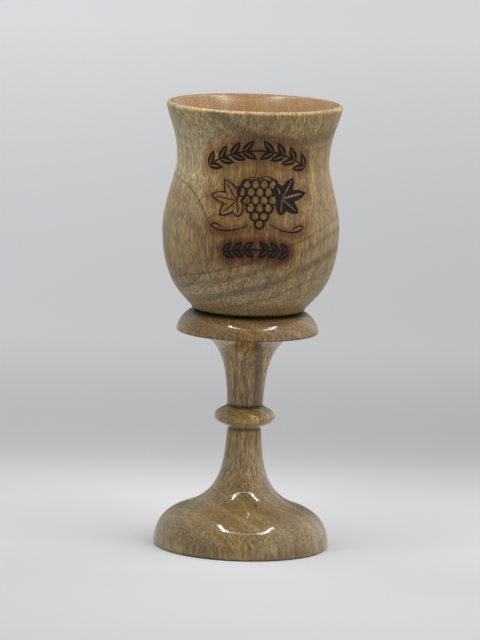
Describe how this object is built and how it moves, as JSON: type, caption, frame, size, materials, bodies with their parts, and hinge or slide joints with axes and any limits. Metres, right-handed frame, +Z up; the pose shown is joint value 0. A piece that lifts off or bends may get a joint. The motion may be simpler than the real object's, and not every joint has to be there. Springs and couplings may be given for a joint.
{
  "type": "wooden goblet",
  "caption": "Turned wooden goblet in the form of a chalice: flared cup, domed collar, stem with a lens-shaped knop, and a domed foot that sweeps up into the stem.",
  "frame": {"origin": "centre of the ring that the foot stands on", "axes": "+Z up the common turning axis, towards the lip; -Y is the decorated front of the bowl"},
  "size_m": [0.075, 0.075, 0.19],
  "materials": {
    "foot_wood": "golden brown hardwood, gloss varnish",
    "knop_wood": "golden brown hardwood, gloss varnish",
    "stem_wood": "grey-brown streaked hardwood, gloss varnish",
    "collar_wood": "golden brown hardwood, gloss varnish",
    "bowl_wood": "olive tan hardwood, satin varnish outside and gloss inside"
  },
  "bodies": {
    "root": {"foot": "foot_wood", "knop": "knop_wood", "upper_stem": "stem_wood", "collar": "collar_wood", "bowl": "bowl_wood"}
  },
  "joints": []
}
